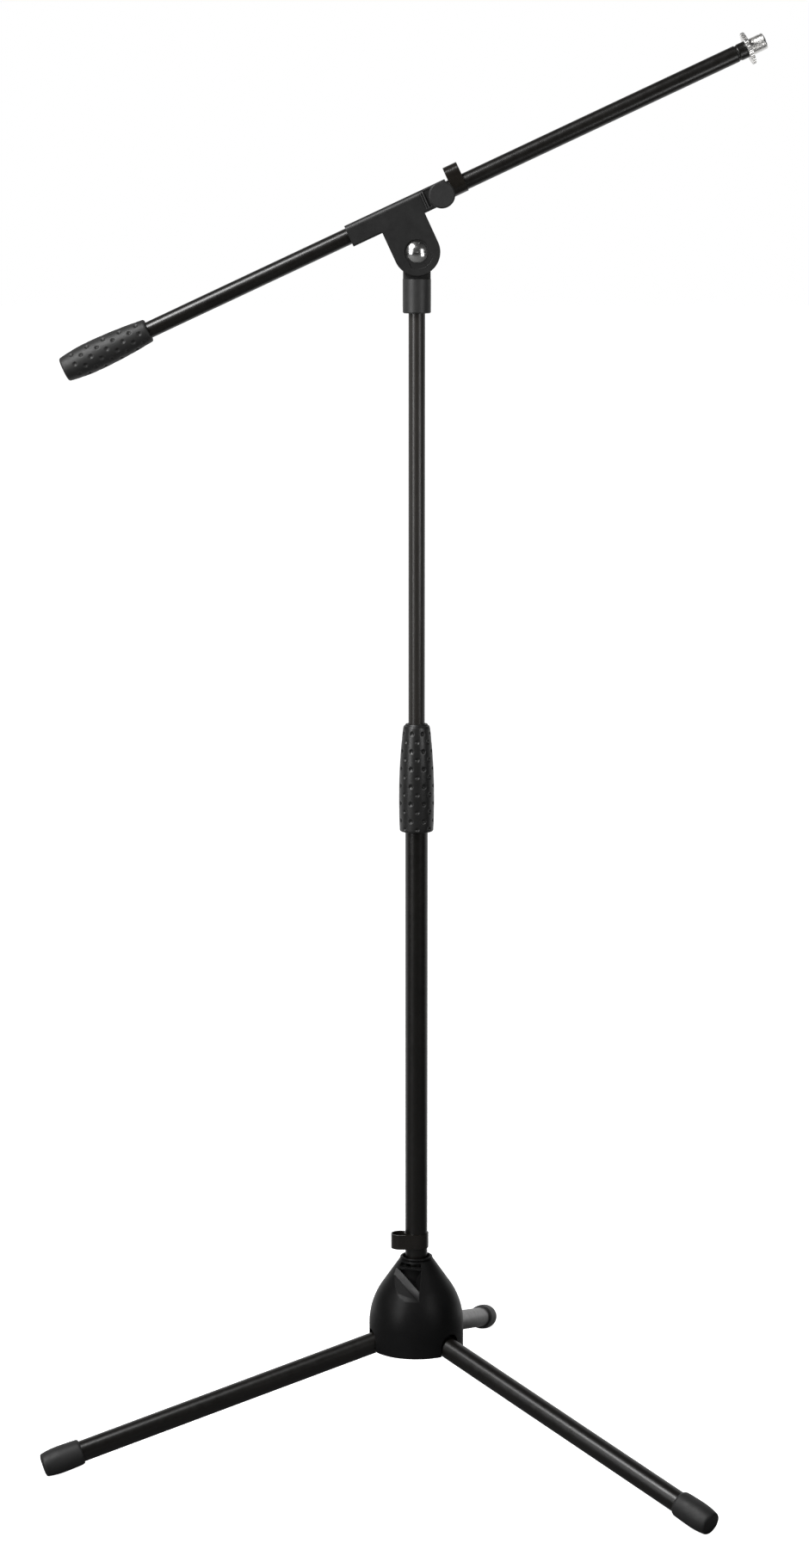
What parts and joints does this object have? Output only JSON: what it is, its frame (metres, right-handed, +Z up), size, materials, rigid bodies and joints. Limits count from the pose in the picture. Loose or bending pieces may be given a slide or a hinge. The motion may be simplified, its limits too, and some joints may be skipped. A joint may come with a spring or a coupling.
{
  "type": "boom microphone stand",
  "caption": "Black boom microphone stand: folding tripod base, telescopic mast with turning clutch, tilting and sliding boom with counterweight grip and threaded microphone end.",
  "frame": {"origin": "on the mast's axis at floor level", "axes": "+Z up the mast, +X to the side the boom rises towards, -Y the front with the chrome tilt bolt"},
  "size_m": [0.7, 0.6449, 1.3872],
  "materials": {
    "tube_paint": "gloss",
    "housing_plastic": "satin",
    "moulded_plastic": "matte",
    "clip_plastic": "gloss",
    "grip_rubber": "matte",
    "foot_rubber": "matte",
    "chrome": "polished",
    "steel": "zinc plated",
    "cast_metal": "raw casting",
    "nylon": "natural",
    "brass": "plain"
  },
  "bodies": {
    "base": {"base_housing": "housing_plastic", "base_plate": "moulded_plastic", "hub_core": "cast_metal", "hub_bolt": "steel", "hub_washer": "steel", "mast_foot_plug": "steel", "leg_pin_left": "steel", "leg_pin_right": "steel", "leg_pin_rear": "steel", "lower_tube": "tube_paint", "clutch_socket": "moulded_plastic", "clutch_collet": "nylon"},
    "leg_left": {"leg_tube_left": "tube_paint", "leg_knuckle_left": "cast_metal", "foot_cap_left": "foot_rubber"},
    "leg_right": {"leg_tube_right": "tube_paint", "leg_knuckle_right": "cast_metal", "foot_cap_right": "foot_rubber"},
    "leg_rear": {"leg_tube_rear": "tube_paint", "leg_knuckle_rear": "cast_metal", "foot_cap_rear": "foot_rubber"},
    "mast_clip": {"mast_cable_clip": "clip_plastic"},
    "clutch": {"clutch_core": "moulded_plastic", "clutch_grip": "grip_rubber", "clutch_top_ring": "moulded_plastic"},
    "mast_slider": {"guide_bush": "nylon"},
    "mast": {"upper_tube": "tube_paint", "upper_tube_plug": "moulded_plastic", "coupler": "moulded_plastic", "tilt_friction_disc": "nylon", "tilt_washer": "steel"},
    "holder": {"boom_holder": "moulded_plastic", "tilt_bolt": "chrome", "boom_lock_nut": "steel", "boom_lock_pad": "brass"},
    "tilt_handle": {"tilt_knob": "moulded_plastic", "tilt_nut": "steel"},
    "boom_lock": {"boom_lock_knob": "moulded_plastic", "boom_lock_screw": "steel"},
    "boom": {"boom_tube": "tube_paint", "boom_grip": "grip_rubber", "counterweight": "cast_metal", "boom_end_plug": "moulded_plastic", "mic_stud": "steel", "thread_adapter": "chrome"},
    "boom_clip": {"boom_cable_clip": "clip_plastic"},
    "ring": {"lock_ring": "chrome"}
  },
  "joints": [
    {"name": "leg_fold_left", "type": "hinge", "parent": "base", "child": "leg_left", "pos_m": [-0.02593, -0.00753, 0.10956], "axis": [0.279, -0.9603, 0], "range_deg": [0, 74]},
    {"name": "leg_fold_right", "type": "hinge", "parent": "base", "child": "leg_right", "pos_m": [0.01949, -0.01869, 0.10956], "axis": [0.6921, 0.7218, 0], "range_deg": [0, 74]},
    {"name": "leg_fold_rear", "type": "hinge", "parent": "base", "child": "leg_rear", "pos_m": [0.00566, 0.0264, 0.10956], "axis": [-0.9778, 0.2096, 0], "range_deg": [0, 74]},
    {"name": "mast_clip_slide", "type": "slide", "parent": "base", "child": "mast_clip", "axis": [0, 0, 1], "range_m": [0, 0.39]},
    {"name": "clutch_turn", "type": "hinge", "parent": "base", "child": "clutch", "pos_m": [0, 0, 0.677], "axis": [0, 0, 1], "range_deg": [0, 180]},
    {"name": "mast_height", "type": "slide", "parent": "base", "child": "mast_slider", "axis": [0, 0, 1], "range_m": [-0.365, 0.09]},
    {"name": "mast_swivel", "type": "hinge", "parent": "mast_slider", "child": "mast", "pos_m": [0, 0, 0.6], "axis": [0, 0, 1], "continuous": true},
    {"name": "boom_tilt", "type": "hinge", "parent": "mast", "child": "holder", "pos_m": [0, 0, 1.1816], "axis": [0, -1, 0], "range_deg": [-115, 64.5]},
    {"name": "tilt_knob_turn", "type": "hinge", "parent": "holder", "child": "tilt_handle", "pos_m": [0, 0.02, 1.1816], "axis": [0, 1, 0], "range_deg": [-180, 0]},
    {"name": "boom_lock_turn", "type": "hinge", "parent": "holder", "child": "boom_lock", "pos_m": [0.02361, -0.015, 1.235], "axis": [0, -1, 0], "range_deg": [0, 180]},
    {"name": "boom_slide", "type": "slide", "parent": "holder", "child": "boom", "axis": [0.907, 0, 0.421], "range_m": [0, 0.2]},
    {"name": "boom_clip_slide", "type": "slide", "parent": "boom", "child": "boom_clip", "axis": [0.907, 0, 0.421], "range_m": [0, 0.27]},
    {"name": "lock_ring_turn", "type": "hinge", "parent": "boom", "child": "ring", "pos_m": [0.31317, 0, 1.37217], "axis": [0.907, 0, 0.421], "continuous": true}
  ]
}
